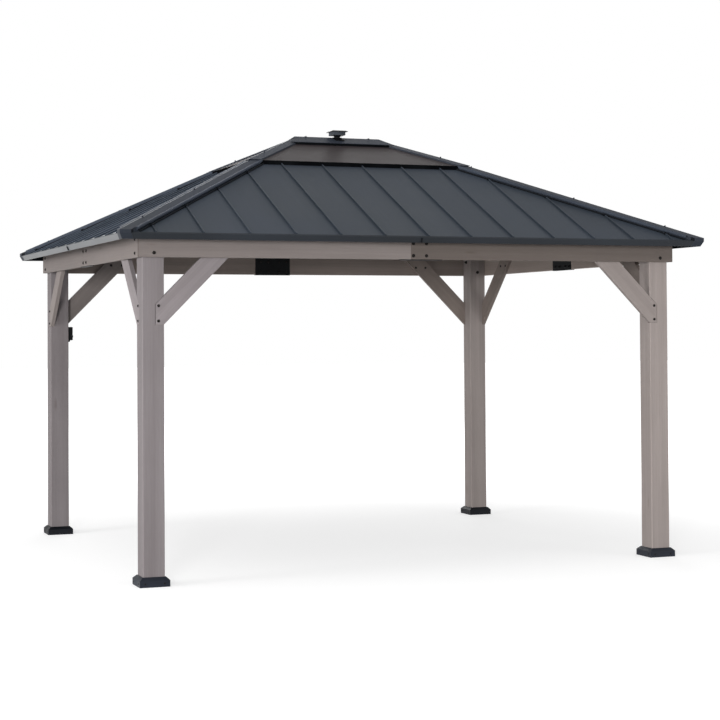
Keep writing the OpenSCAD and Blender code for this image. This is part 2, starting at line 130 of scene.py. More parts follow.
def addCamera():
    yaw, pitch, roll = camera["yaw"], camera["pitch"], camera["roll"]
    ahead = Vector((math.sin(yaw) * math.cos(pitch), math.cos(yaw) * math.cos(pitch), math.sin(pitch)))
    side = Vector((math.cos(yaw), -math.sin(yaw), 0))
    up = side.cross(ahead)
    sideRolled = math.cos(roll) * side + math.sin(roll) * up
    upRolled = math.cos(roll) * up - math.sin(roll) * side
    data = bpy.data.cameras.new("camera")
    data.lens = camera["lens"]
    data.sensor_width = camera["sensor"]
    data.shift_x = camera["shiftX"]
    data.shift_y = camera["shiftY"]
    data.clip_end = camera["farthest"]
    holder = addObject("camera", data)
    turn = Matrix((sideRolled, upRolled, -ahead)).transposed()
    holder.matrix_world = Matrix.Translation(camera["place"]) @ turn.to_4x4()
    bpy.context.scene.camera = holder


# The key stands low, so that the eaves throw hardly any shadow on the beams under them
lights = {
    "key": {"place": (-8.2, -16.0, 2.8), "size": 2.6, "power": 1650.0},
    "side": {"place": (-15.0, -3.0, 2.5), "size": 4.4, "power": 1150.0},
    "fill": {"place": (9.0, -12.0, 3.0), "size": 6.0, "power": 330.0},
    "top": {"place": (-4.0, -2.0, 14.0), "size": 11.0, "power": 640.0},
    "back": {"place": (4.0, 14.0, 7.0), "size": 8.0, "power": 600.0},
}
lightAim = Vector((0, 0, 1.6))


def addLights():
    for name, lamp in lights.items():
        data = bpy.data.lights.new(name, "AREA")
        data.size = lamp["size"]
        data.energy = lamp["power"]
        holder = addObject(name, data)
        holder.location = lamp["place"]
        holder.rotation_euler = (lightAim - Vector(lamp["place"])).to_track_quat("-Z", "Y").to_euler()


def whiteToEye(add):
    # 1 for the rays that meet plain white: straight from the camera, or off metal and glass
    path = add("ShaderNodeLightPath").outputs
    seen = add("ShaderNodeMath", {"operation": "MAXIMUM"},
               {0: path["Is Camera Ray"], 1: path["Is Transmission Ray"]})
    return add("ShaderNodeMath", {"operation": "MAXIMUM"}, {0: seen, 1: path["Is Glossy Ray"]})


studio = {"light": 0.5, "backdrop": 1.0, "white": "#ffffff"}


def addWorld():
    world = bpy.data.worlds.new("studio")
    world.use_nodes = True
    world.node_tree.nodes.clear()
    add = partial(addNode, world.node_tree)
    plain, white = [add("ShaderNodeBackground", {"Color": studio["white"], "Strength": studio[name]})
                    for name in ("light", "backdrop")]
    mixed = add("ShaderNodeMixShader", None, {0: whiteToEye(add), 1: plain, 2: white})
    add("ShaderNodeOutputWorld", None, {"Surface": mixed})
    bpy.context.scene.world = world


# A pale floor that keeps the soft shadow under the roof and turns plain white further out
floor = {"half": 60.0, "paint": "#c2c2c2", "reach": (2.6, 7.0), "glow": (0.55, 1.0)}


def addFloor():
    half = floor["half"]
    mesh = bpy.data.meshes.new("floor")
    corners = [(-half, -half, 0), (half, -half, 0), (half, half, 0), (-half, half, 0)]
    mesh.from_pydata(corners, [], [(0, 1, 2, 3)])
    holder = addObject("floor", mesh)
    material, add, here = newMaterial("paleFloor")
    nodes = material.node_tree.nodes
    nodes.remove(nodes["Principled BSDF"])
    away = add("ShaderNodeVectorMath", {"operation": "LENGTH"}, {0: here}).outputs["Value"]
    strength = add("ShaderNodeMapRange",
                   {"From": floor["reach"], "To": floor["glow"], "interpolation_type": "SMOOTHSTEP"},
                   {"Value": away})
    paint = add("ShaderNodeBsdfDiffuse", {"Color": floor["paint"]})
    glow = add("ShaderNodeEmission", {"Color": studio["white"]}, {"Strength": strength})
    lit = add("ShaderNodeAddShader", None, {0: paint, 1: glow})
    mixed = add("ShaderNodeMixShader", None, {0: whiteToEye(add), 1: paint, 2: lit})
    setNode(nodes["Material Output"], None, {"Surface": mixed})
    mesh.materials.append(material)


bpy.context.scene.view_settings.view_transform = "Standard"
addCamera()
addLights()
addWorld()
addFloor()
print("camera, lights and floor done")


# Sizes read off the frame, from which every piece takes its place
postLow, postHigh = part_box("post_front_left")
beamLow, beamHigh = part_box("beam_front_left")
endBeamLow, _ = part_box("beam_left_front")
braceLow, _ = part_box("brace_front_left")
_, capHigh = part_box("hip_caps")
trimLow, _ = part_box("eave_trim_front")
_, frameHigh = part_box("skylight_frame")
_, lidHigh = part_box("ridge_lid")
panelLow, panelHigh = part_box("lamp_panel")
boxLow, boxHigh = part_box("switch_box")
coverLow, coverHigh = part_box("foot_cover_front_left")
kerbLow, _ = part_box("skylight_kerb")
railLow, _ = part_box("eave_rails")

gazebo = {
    "halfX": -postLow.x,
    "halfY": -postLow.y,
    "post": postHigh.x - postLow.x,
    "beamBottom": beamLow.z,
    "beamTop": beamHigh.z,
    "beamDepth": beamHigh.y - beamLow.y,
    "pitch": 25.25,                      # of the slopes, in degrees
    "sheetBelowBeamTop": 7 * mm,
    "capThickness": 3 * mm,
    "capRise": 30 * mm,
    "capReach": 70 * mm,
    "seamSpacing": 305 * mm,
    "seamHeight": 12 * mm,
    "skylightPitch": 23.25,
    "skylightCapRise": 11 * mm,
    "skylightStep": 27 * mm,
}
gazebo["eaveX"] = capHigh.x - gazebo["capThickness"]
gazebo["eaveY"] = capHigh.y - gazebo["capThickness"]
gazebo["sheetEdge"] = gazebo["beamTop"] - gazebo["sheetBelowBeamTop"]
gazebo["skylightIn"] = gazebo["eaveY"] - frameHigh.y     # plan distance in from the eave
slopeTurn, skylightTurn = math.radians(gazebo["pitch"]), math.radians(gazebo["skylightPitch"])
sideNames = ("front", "right", "back", "left")


def sideHalf(side):
    return gazebo["eaveX"] if side % 2 == 0 else gazebo["eaveY"]


def sideRun(side):
    return gazebo["eaveY"] if side % 2 == 0 else gazebo["eaveX"]


def turnSide(side, point):
    # A point drawn for the front side, turned round to the side asked for
    x, y, z = point
    return Vector(((x, y, z), (-y, x, z), (-x, -y, z), (y, -x, z))[side])


def sheetHeight(inFromEave):
    return gazebo["sheetEdge"] + inFromEave * math.tan(slopeTurn)


def slopePoint(side, along, inFromEave, rise):
    return turnSide(side, (along, inFromEave - sideRun(side), sheetHeight(inFromEave) + rise))


def panelHeight(inFromEave):
    start = gazebo["skylightIn"]
    return sheetHeight(start) + gazebo["skylightStep"] + (inFromEave - start) * math.tan(skylightTurn)


def panelPoint(side, along, inFromEave, rise):
    return turnSide(side, (along, inFromEave - sideRun(side), panelHeight(inFromEave) + rise))


cedar = {
    "deep": "#7f7876", "middle": "#87807e", "pale": "#8f8886",
    "knot": "#6a5f5a", "latewood": "#b9aca4", "fibreShade": "#c4bab4",
    # The arris colour is a painted highlight: paler than the stain, where the boards' edges catch the light
    "paintedArrisHighlight": "#a49c98", "endGrain": "#a3958c",
    "ringAmount": 0.04, "streakAmount": 0.1, "fibreAmount": 0.14, "knotAmount": 0.5,
    "endAmount": 0.8, "paintedArrisHighlightAmount": 0.35,
    # How large each layer's marks are, along the board and then across it, and their detail
    "layers": {
        "figure": ((1818 * mm, 59 * mm, 59 * mm), 4.0),          # long flames
        "streak": ((625 * mm, 14.3 * mm, 14.3 * mm), 2.0),       # streaks of stain
        "fibre": ((71.4 * mm, 2.38 * mm, 2.38 * mm), 2.0),       # coarser than the real 0.1 mm
        "blotch": ((455 * mm, 455 * mm, 455 * mm), 2.0),
        "bend": ((1250 * mm, 333 * mm, 333 * mm), 1.0),          # how the rings wander
    },
    "ringSpacing": 16.7 * mm,      # growth rings, coarser than the real 3 mm so that they show
    "ringBend": 60 * mm,
    "knotApart": (625 * mm, 125 * mm, 125 * mm), "knotRim": (0.04, 0.1),     # the rim in shares of that
    "blotchTone": (0.96, 1.04),
    "roughness": (0.6, 0.82),
    "grainDepth": 0.7 * mm,
    # How squarely a face looks along one axis, where it stops getting the painted arris highlight and where
    # it is an end
    "arrisFaces": (0.72, 0.85), "endFaces": (0.85, 0.95),
    # Where a board lies in its log: a step along it for each board, and how far off its heart
    "logStep": 1.7, "heart": (0.23, 0.26), "heartStep": (0.031, 0.027),
}
slant = math.sqrt(0.5)
# How the pattern turns to run with each grain, and which way that grain points
grains = {
    "z": ((0, 90, 0), (0, 0, 1)), "x": ((0, 0, 0), (1, 0, 0)), "y": ((0, 0, -90), (0, 1, 0)),
    "xUp": ((0, 45, 0), (slant, 0, slant)), "xDown": ((0, 135, 0), (slant, 0, -slant)),
    "yUp": ((-45, 0, -90), (0, slant, slant)), "yDown": ((-135, 0, -90), (0, slant, -slant)),
}


def logPlace(seed):
    heart = [start + step * turn for start, step, turn in
             zip(cedar["heart"], cedar["heartStep"], (seed * 7 % 5, seed * 5 % 7))]
    return (cedar["logStep"] * seed, *heart)


def stainedCedar(name, grain, tone, tint, seed):
    # Sawn cedar under a grey-brown stain: matt, long soft figure and fibre along the board, a few
    # faint knots, a painted highlight along the arrises, darker thirsty end grain. Each board is from its
    # own log.
    material, add, here = newMaterial(name)
    angles, axis = grains[grain]
    turned = add("ShaderNodeMapping",
                 {"Rotation": tuple(math.radians(angle) for angle in angles), "Location": logPlace(seed)},
                 {"Vector": here})
    layers = {}
    for layer, (size, detail) in cedar["layers"].items():
        scaled = add("ShaderNodeMapping", {"Scale": perMetre(size)}, {"Vector": turned})
        layers[layer] = add("ShaderNodeTexNoise", {"Scale": 1.0, "Detail": detail}, {"Vector": scaled})
    wander = add("ShaderNodeVectorMath",
                 {"operation": "MULTIPLY_ADD", 1: (0.0, cedar["ringBend"], cedar["ringBend"])},
                 {0: layers["bend"].outputs["Color"], 2: turned})
    rings = add("ShaderNodeTexWave",      # it draws a ring every tau / 20 of its scale
                {"wave_type": "RINGS", "rings_direction": "X", "Scale": math.tau / 20 / cedar["ringSpacing"],
                 "Distortion": 0.6, "Detail": 1.0, "Detail Scale": 1.0},
                {"Vector": wander}).outputs["Fac"]
    knotPlace = add("ShaderNodeMapping", {"Scale": perMetre(cedar["knotApart"])}, {"Vector": turned})
    knots = add("ShaderNodeTexVoronoi", {"Scale": 1.0}, {"Vector": knotPlace})
    colour = add("ShaderNodeValToRGB",
                 {"stops": ((0.3, cedar["deep"]), (0.5, cedar["middle"]), (0.7, cedar["pale"]))},
                 {"Fac": layers["figure"]})

    # A face that looks along the grain is an end, and one that looks two ways at once is an arris, which
    # gets a painted highlight
    normal, axes = facingAxes(add)
    along = add("ShaderNodeVectorMath", {"operation": "DOT_PRODUCT", 1: axis}, {0: normal})
    ends = add("ShaderNodeMath", {"operation": "ABSOLUTE"}, {0: along.outputs["Value"]})
    wide = add("ShaderNodeMath", {"operation": "MAXIMUM"}, {0: axes["X"], 1: axes["Y"]})
    widest = add("ShaderNodeMath", {"operation": "MAXIMUM"}, {0: wide, 1: axes["Z"]})
    paintedArrisHighlight = add("ShaderNodeMapRange", {"From": cedar["arrisFaces"], "To": (cedar["paintedArrisHighlightAmount"], 0.0)},
                {"Value": widest})
    # Painted highlight: the arrises are drawn paler, in patches along the stain's streaks
    worn = add("ShaderNodeMath", {"operation": "MULTIPLY"}, {0: paintedArrisHighlight, 1: layers["streak"]})
    coats = [
        # (blend, colour, what drives it, its range, the amounts at the two ends of that range)
        ("MULTIPLY", "latewood", rings, (0.5, 1.0), (0.0, cedar["ringAmount"])),
        ("MULTIPLY", "fibreShade", layers["streak"], (0.35, 0.7), (cedar["streakAmount"], 0.0)),
        ("MULTIPLY", "fibreShade", layers["fibre"], (0.35, 0.7), (cedar["fibreAmount"], 0.0)),
        ("MIX", "knot", knots, cedar["knotRim"], (cedar["knotAmount"], 0.0)),
        ("MULTIPLY", "endGrain", ends, cedar["endFaces"], (0.0, cedar["endAmount"])),
    ]
    if len(grain) == 1:      # the slanting braces have no faces square to the axes to tell an arris by, so they get no painted highlight
        coats.append(("MIX", "paintedArrisHighlight", worn, (0.0, 1.0), (0.0, 1.0)))
    for blend, coat, driver, span, amounts in coats:
        amount = add("ShaderNodeMapRange", {"From": span, "To": amounts}, {"Value": driver})
        colour = add("ShaderNodeMix", {"data_type": "RGBA", "blend_type": blend, coatIn: cedar[coat]},
                     {0: amount, baseIn: colour}).outputs[colourOut]
    tinted = add("ShaderNodeMix", {"data_type": "RGBA", "blend_type": "MULTIPLY", 0: 1.0, coatIn: tint},
                 {baseIn: colour}).outputs[colourOut]
    value = add("ShaderNodeMapRange",
                {"From": noiseSpan, "To": tuple(tone * share for share in cedar["blotchTone"])},
                {"Value": layers["blotch"]})
    shade = add("ShaderNodeHueSaturation", None, {"Value": value, "Color": tinted})
    roughness = add("ShaderNodeMapRange", {"From": noiseSpan, "To": cedar["roughness"]},
                    {"Value": layers["figure"]})
    relief = add("ShaderNodeMath", {"operation": "MULTIPLY_ADD", 1: 0.5},
                 {0: layers["streak"], 2: layers["fibre"]})
    bump = add("ShaderNodeBump", {"Strength": 0.5, "Distance": cedar["grainDepth"]}, {"Height": relief})
    return withShader(material, {"Specular IOR Level": 0.25}, shade, roughness, bump)


# Baked polyester paint on steel: how it shines and weathers where a sheet says nothing else, and
# then each sheet's colour, its worn and its deep tone
satin = {"roughness": (0.46, 0.56), "runs": 0.0, "peel": 0.3, "dusted": 0.0}
paintedSteel = {
    "roof": {"colour": "#2d333b", "worn": "#343a43", "deep": "#2a3037", "specular": 0.1,
             "roughness": (0.5, 0.6), "runs": 0.25},
    "roofEnd": {"colour": "#2d333b", "worn": "#3a414b", "deep": "#262b32", "specular": 0.16,
                "roughness": (0.22, 0.34), "runs": 0.35, "peel": 0.03},
    # Painted reflection: a pale coat with hardly any shine, for the light the seams reflect on the end
    # slopes
    "seamEndPaintedSheen": {"colour": "#545b66", "worn": "#626974", "deep": "#484f59", "specular": 0.02,
                "roughness": (0.6, 0.7), "peel": 0.03},
    # Painted shade: the front and back trims are the roof's paint drawn darker, for the shade the leaning
    # fascia faces into; the end trims keep about the roof's own colour
    "trim": {"colour": "#1e2228", "worn": "#23282e", "deep": "#1b1f24", "specular": 0.2,
             "roughness": (0.3, 0.38), "peel": 0.1, "dusted": 0.85},
    "trimEnd": {"colour": "#2c3036", "worn": "#32363c", "deep": "#272b30", "specular": 0.36,
                "roughness": (0.3, 0.38), "peel": 0.1, "dusted": 0.85},
    # Painted light: the aprons are the caps' steel drawn paler, for the light along the flanks' lower edges
    "apronPaintedLight": {"colour": "#3b414b", "worn": "#434954", "deep": "#363b44", "specular": 0.07},
    "cap": {"colour": "#2d3139", "worn": "#343840", "deep": "#2a2e35", "specular": 0.07},
    "lid": {"colour": "#272b33", "worn": "#2d323b", "deep": "#23272e", "specular": 0.05},
}
steelPatterns = {
    "runSize": (1250 * mm, 38.5 * mm),     # dust runs: down the slope, and across it
    "cloudSize": 909 * mm,
    "peelSize": 5.26 * mm,                 # orange peel, drawn coarser than the real 0.3 mm
    "peelDepth": 0.1 * mm,
    "panTone": (0.95, 1.06),               # from one pan between seams to the next
    "upFaces": (0.3, 0.6),                 # how far up a face looks where dust starts and is full
}


def coatedSteel(name, kind, downSlope="Y"):
    # Galvanised sheet with a baked satin coat: faint dust runs down the slope, a slightly
    # different tone from pan to pan, fine orange peel
    finish = {**satin, **paintedSteel[kind]}
    material, add, here = newMaterial(name)
    down, across = perMetre(steelPatterns["runSize"])
    runScale = (across, down, down) if downSlope == "Y" else (down, across, down)
    scaled = add("ShaderNodeMapping", {"Scale": runScale}, {"Vector": here})
    run = add("ShaderNodeTexNoise", {"Scale": 1.0, "Detail": 3.0, "Roughness": 0.6}, {"Vector": scaled})
    cloud = add("ShaderNodeTexNoise", {"Scale": 1 / steelPatterns["cloudSize"], "Detail": 3.0},
                {"Vector": here})
    peel = add("ShaderNodeTexNoise", {"Scale": 1 / steelPatterns["peelSize"], "Detail": 1.0},
               {"Vector": here})
    colour = add("ShaderNodeValToRGB",
                 {"stops": ((0.3, finish["deep"]), (0.5, finish["colour"]), (0.75, finish["worn"]))},
                 {"Fac": cloud})
    if finish["runs"]:
        axes = add("ShaderNodeSeparateXYZ", None, {0: here}).outputs
        counted = add("ShaderNodeMath", {"operation": "DIVIDE", 1: gazebo["seamSpacing"]},
                      {0: axes["X" if downSlope == "Y" else "Y"]})
        pan = add("ShaderNodeMath", {"operation": "FLOOR"}, {0: counted})
        panNoise = add("ShaderNodeTexWhiteNoise", {"noise_dimensions": "1D"}, {"W": pan})
        panTone = add("ShaderNodeMapRange", {"To": steelPatterns["panTone"]}, {"Value": panNoise})
        amount = add("ShaderNodeMapRange", {"From": (0.45, 0.75), "To": (0.0, finish["runs"])},
                     {"Value": run})
        washed = add("ShaderNodeMix", {"data_type": "RGBA", coatIn: finish["worn"]},
                     {0: amount, baseIn: colour}).outputs[colourOut]
        colour = add("ShaderNodeHueSaturation", None, {"Value": panTone, "Color": washed})
    roughness = add("ShaderNodeMapRange", {"From": noiseSpan, "To": finish["roughness"]}, {"Value": cloud})
    if finish["dusted"]:      # dust lies on the faces that look up and dulls them
        normal = add("ShaderNodeNewGeometry").outputs["True Normal"]
        up = add("ShaderNodeSeparateXYZ", None, {0: normal}).outputs["Z"]
        dust = add("ShaderNodeMapRange", {"From": steelPatterns["upFaces"], "To": (0.0, finish["dusted"])},
                   {"Value": up})
        roughness = add("ShaderNodeMath", {"operation": "MAXIMUM"}, {0: roughness, 1: dust})
    bump = add("ShaderNodeBump", {"Strength": finish["peel"], "Distance": steelPatterns["peelDepth"]},
               {"Height": peel})
    return withShader(material, {"Specular IOR Level": finish["specular"]}, colour, roughness, bump)


powder = {"colour": "#090a0c", "dust": "#121416", "dustSize": 200 * mm, "grainSize": 3.33 * mm,
          "grainDepth": 0.12 * mm, "roughness": (0.42, 0.6)}


def powderCoat(name, specular):
    # Powder-coated steel: near black, fine even pimple, a little dust
    material, add, here = newMaterial(name)
    dust = add("ShaderNodeTexNoise", {"Scale": 1 / powder["dustSize"], "Detail": 4.0}, {"Vector": here})
    grain = add("ShaderNodeTexNoise", {"Scale": 1 / powder["grainSize"], "Detail": 1.0}, {"Vector": here})
    colour = add("ShaderNodeValToRGB", {"stops": ((0.4, powder["colour"]), (0.8, powder["dust"]))},
                 {"Fac": dust})
    roughness = add("ShaderNodeMapRange", {"From": noiseSpan, "To": powder["roughness"]}, {"Value": dust})
    bump = add("ShaderNodeBump", {"Strength": 0.4, "Distance": powder["grainDepth"]}, {"Height": grain})
    return withShader(material, {"Specular IOR Level": specular}, colour, roughness, bump)


moulded = {"cloudSize": 71.4 * mm, "grainSize": 3.85 * mm, "grainDepth": 0.2 * mm, "roughness": (0.4, 0.58)}
footHeights = (0.0, 60 * mm)
lampHeights = (panelLow.z - 26 * mm, panelLow.z - 25 * mm)      # the neck is clean, the body above is dusty
# A plastic's own colour, the tone that dust gives it, and how that grows between two heights
plastics = {
    "footCoverPolypropylene": {"colour": "#0d121b", "worn": "#212734", "specular": 0.22,
                               "heights": footHeights, "amounts": (0.9, 0.1)},
    # Painted shade: the back foot covers are the same plastic drawn darker, for the shade they stand in
    "paintedShadeFootCoverPolypropylene": {"colour": "#06080d", "worn": "#141820", "specular": 0.14,
                           "heights": footHeights, "amounts": (0.9, 0.1)},
    "housingPolypropylene": {"colour": "#0c0d0f", "worn": "#141618", "specular": 0.08,
                             "heights": (boxLow.z, boxHigh.z), "amounts": (0.0, 1.0)},
    "lampPolycarbonate": {"colour": "#0a0b0e", "worn": "#5b6068", "specular": 0.05,
                          "heights": lampHeights, "amounts": (0.0, 1.0)},
    "epdmRubber": {"colour": "#101216", "worn": "#191c21", "specular": 0.05,
                   "heights": (0.0, 1.0), "amounts": (0.5, 0.5)},
}


def mouldedPlastic(name):
    # Injection-moulded plastic: satin with a light leather grain, and a paler tone in clouds
    look = plastics[name]
    material, add, here = newMaterial(name)
    cloud = add("ShaderNodeTexNoise", {"Scale": 1 / moulded["cloudSize"], "Detail": 4.0}, {"Vector": here})
    grain = add("ShaderNodeTexVoronoi", {"Scale": 1 / moulded["grainSize"]}, {"Vector": here})
    height = add("ShaderNodeSeparateXYZ", None, {0: here}).outputs["Z"]
    share = add("ShaderNodeMapRange", {"From": look["heights"], "To": look["amounts"]}, {"Value": height})
    amount = add("ShaderNodeMath", {"operation": "MULTIPLY"}, {0: share, 1: cloud})
    dusted = add("ShaderNodeMix", {"data_type": "RGBA", baseIn: look["colour"], coatIn: look["worn"]},
                 {0: amount}).outputs[colourOut]
    roughness = add("ShaderNodeMapRange", {"From": noiseSpan, "To": moulded["roughness"]}, {"Value": cloud})
    bump = add("ShaderNodeBump", {"Strength": 0.3, "Distance": moulded["grainDepth"]}, {"Height": grain})
    settings = {"IOR": 1.49, "Specular IOR Level": look["specular"]}
    return withShader(material, settings, dusted, roughness, bump)


smoked = {"deep": "#2b2627", "middle": "#2f2a2b", "pale": "#332f30", "tapeAndPaintedShade": "#08080a",
          "cloudSize": 333 * mm, "fluteWidth": 16 * mm, "fluteShade": 0.12, "fluteDepth": 0.1 * mm,
          "roughness": (0.4, 0.48), "endRoughness": 0.62, "edgeFaces": 0.8, "endFaces": (0.2, 0.3)}


def smokedSheet():
    # Twin-wall polycarbonate with a smoke tint: glossy skin over faint flutes, hazier at the two
    # ends, its cut edges drawn black, partly for the tape that closes them and partly as painted shade
    material, add, here = newMaterial("smokedPolycarbonate")
    cloud = add("ShaderNodeTexNoise", {"Scale": 1 / smoked["cloudSize"], "Detail": 3.0}, {"Vector": here})
    across = add("ShaderNodeSeparateXYZ", None, {0: here}).outputs["X"]
    turns = add("ShaderNodeMath", {"operation": "MULTIPLY", 1: math.tau / smoked["fluteWidth"]}, {0: across})
    flute = add("ShaderNodeMath", {"operation": "SINE"}, {0: turns})
    base = add("ShaderNodeValToRGB",
               {"stops": ((0.3, smoked["deep"]), (0.5, smoked["middle"]), (0.75, smoked["pale"]))},
               {"Fac": cloud})
    amount = add("ShaderNodeMapRange", {"From": (0.2, 1.0), "To": (0.0, smoked["fluteShade"])},
                 {"Value": flute})
    lined = add("ShaderNodeMix", {"data_type": "RGBA", "blend_type": "MULTIPLY", coatIn: smoked["deep"]},
                {0: amount, baseIn: base}).outputs[colourOut]
    _, looks = facingAxes(add)
    # The edges are black partly for tape and partly as painted shade, joining the dark gap under the tier
    edge = add("ShaderNodeMath", {"operation": "LESS_THAN", 1: smoked["edgeFaces"]}, {0: looks["Z"]})
    tapedAndShaded = add("ShaderNodeMix", {"data_type": "RGBA", coatIn: smoked["tapeAndPaintedShade"]},
                {0: edge, baseIn: lined}).outputs[colourOut]
    skin = add("ShaderNodeMapRange", {"From": noiseSpan, "To": smoked["roughness"]}, {"Value": cloud})
    haze = add("ShaderNodeMapRange", {"From": smoked["endFaces"], "To": (0.0, smoked["endRoughness"])},
               {"Value": looks["X"]})
    roughness = add("ShaderNodeMath", {"operation": "MAXIMUM"}, {0: skin, 1: haze})
    bump = add("ShaderNodeBump", {"Strength": 0.2, "Distance": smoked["fluteDepth"]}, {"Height": flute})
    return withShader(material, {"IOR": 1.58, "Specular IOR Level": 0.05}, tapedAndShaded, roughness, bump)


solar = {"cell": "#0d1626", "deep": "#0a0d14", "line": "#5d6b7c", "bezel": "#0c0d0f", "cloudSize": 16.7 * mm,
         "cellSize": 26 * mm, "lineWidth": 1.4 * mm, "bezelWidth": 11 * mm, "roughness": (0.14, 0.5)}


def solarGlass():
    # Toughened glass over dark blue cells with fine silver lines, in a matt black bezel
    material, add, here = newMaterial("solarCells")
    away = add("ShaderNodeVectorMath", {"operation": "ABSOLUTE"}, {0: here})
    axes = add("ShaderNodeSeparateXYZ", None, {0: away}).outputs
    lines = []
    for axis in ("X", "Y"):
        toLine = add("ShaderNodeMath", {"operation": "PINGPONG", 1: solar["cellSize"] / 2}, {0: axes[axis]})
        lines.append(add("ShaderNodeMath", {"operation": "LESS_THAN", 1: solar["lineWidth"] / 2},
                         {0: toLine}))
    line = add("ShaderNodeMath", {"operation": "MAXIMUM"}, {0: lines[0], 1: lines[1]})
    furthest = add("ShaderNodeMath", {"operation": "MAXIMUM"}, {0: axes["X"], 1: axes["Y"]})
    edge = add("ShaderNodeMath", {"operation": "GREATER_THAN", 1: panelHigh.x - solar["bezelWidth"]},
               {0: furthest})
    cloud = add("ShaderNodeTexNoise", {"Scale": 1 / solar["cloudSize"]}, {"Vector": here})
    colour = add("ShaderNodeValToRGB", {"stops": ((0.3, solar["cell"]), (0.8, solar["deep"]))},
                 {"Fac": cloud})
    for coat, where in (("line", line), ("bezel", edge)):
        colour = add("ShaderNodeMix", {"data_type": "RGBA", coatIn: solar[coat]},
                     {0: where, baseIn: colour}).outputs[colourOut]
    roughness = add("ShaderNodeMapRange", {"To": solar["roughness"]}, {"Value": edge})
    return withShader(material, {"IOR": 1.52, "Specular IOR Level": 0.2}, colour, roughness)


oxide = {"colour": "#0f0d0c", "worn": "#25211d", "speckSize": 5.56 * mm, "roughness": (0.4, 0.6)}


def blackOxide():
    # Black-oxide fasteners: dark, semi-matt metal with brown high spots
    material, add, here = newMaterial("blackOxideSteel")
    speck = add("ShaderNodeTexNoise", {"Scale": 1 / oxide["speckSize"], "Detail": 2.0}, {"Vector": here})
    colour = add("ShaderNodeValToRGB", {"stops": ((0.45, oxide["colour"]), (0.85, oxide["worn"]))},
                 {"Fac": speck})
    roughness = add("ShaderNodeMapRange", {"From": noiseSpan, "To": oxide["roughness"]}, {"Value": speck})
    return withShader(material, {"Metallic": 0.3, "Specular IOR Level": 0.15}, colour, roughness)


# Each board's tone and the cast of its stain. Partly each log takes the stain its own way, and partly
# the tones are painted light and shade: darker on boards in shade, such as the right half of the front
# beam, paler on boards that need more light, such as the inner faces of the right end beams
cool, plain, warm = "#f7f8ff", "#fffdfb", "#fff8f0"
boards = {
    "post_front_left": (0.85, cool), "post_front_right": (1.24, plain),
    "post_back_left": (0.78, cool), "post_back_right": (1.0, plain),
    "beam_front_left": (0.82, plain), "beam_front_right": (0.5, warm),
    "beam_back_left": (0.95, warm), "beam_back_right": (0.98, warm),
    "beam_left_back": (0.78, plain), "beam_left_front": (0.8, plain),
    "beam_right_front": (1.3, warm), "beam_right_back": (1.3, warm),
    "brace_front_left": (0.96, cool), "brace_front_right": (1.14, plain),
    "brace_back_left": (0.74, plain), "brace_back_right": (0.94, warm),
    "brace_left_back": (0.95, plain), "brace_left_front": (1.05, cool),
    "brace_right_front": (0.74, warm), "brace_right_back": (0.82, warm),
}


def grainOf(name):
    if name.startswith("post"):
        return "z"
    kind, side, end = name.split("_")
    if kind == "beam":
        return "x" if side in ("front", "back") else "y"
    if side in ("front", "back"):
        return "xUp" if end == "left" else "xDown"
    return "yUp" if end == "front" else "yDown"


def dress(names, material):
    for name in names:
        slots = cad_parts[name].data.materials
        slots.clear()
        slots.append(material)


roofSteel = [coatedSteel("roofSteel" + name.title(), kind, downSlope)
             for name, (kind, downSlope) in zip(sideNames, (("roof", "Y"), ("roofEnd", "X")) * 2)]
# The front and back trims take the darker copy of the paint, as painted shade
trimSteel = (coatedSteel("trimSteel", "trim"), coatedSteel("endTrimSteel", "trimEnd"))
capSteel = coatedSteel("hipCapSteel", "cap")
blackCoat = powderCoat("blackPowderCoat", 0.1)
# Painted shade: a black without any shine, for the shadowed gaps under the skylight tier's edge and under
# the ridge lid
paintedShadowBlack = powderCoat("paintedShadowGapBlack", 0.0)
coverPlastic = mouldedPlastic("footCoverPolypropylene")
boxPlastic = mouldedPlastic("housingPolypropylene")
lampPlastic = mouldedPlastic("lampPolycarbonate")
rubber = mouldedPlastic("epdmRubber")
boltSteel = blackOxide()

for seed, (name, (tone, tint)) in enumerate(boards.items(), 1):
    dress([name], stainedCedar("stainedCedar_" + name, grainOf(name), tone, tint, seed))
for side, sideName in enumerate(sideNames):
    dress(["roof_" + sideName], roofSteel[side])
    dress(["eave_trim_" + sideName], trimSteel[side % 2])
dress(["hip_caps", "skylight_hip_caps"], capSteel)
dress(["ridge_lid"], coatedSteel("ridgeLidSteel", "lid"))
dress(["splice_plates", "eave_rails", "rafters", "skylight_kerb"], blackCoat)
# The skylight frame and ridge riser are drawn black to stand in for the shadow gaps there, as painted shade
dress(["skylight_frame", "ridge_riser"], paintedShadowBlack)
dress(["foot_cover_front_left", "foot_cover_front_right"], coverPlastic)
# The back covers take the darker copy, as painted shade
dress(["foot_cover_back_left", "foot_cover_back_right"], mouldedPlastic("paintedShadeFootCoverPolypropylene"))
dress(["skylight_panels"], smokedSheet())
dress(["lamp_base"], lampPlastic)
dress(["lamp_panel"], solarGlass())
dress(["switch_box"], boxPlastic)
print("materials done")


def newTree(name, inputs):
    # A tree with its own named inputs, given as (name, kind of socket, default)
    tree = bpy.data.node_groups.new(name, "GeometryNodeTree")
    tree.interface.new_socket("Geometry", in_out="INPUT", socket_type="NodeSocketGeometry")
    for label, kind, value in inputs:
        socket = tree.interface.new_socket(label, in_out="INPUT", socket_type="NodeSocket" + kind)
        if value is not None:
            socket.default_value = value
    tree.interface.new_socket("Geometry", in_out="OUTPUT", socket_type="NodeSocketGeometry")
    add = partial(addNode, tree)
    return tree, add, add("NodeGroupInput").outputs


def keepPiece(name, mesh):
    piece = addObject(name, mesh)
    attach(piece, "root")


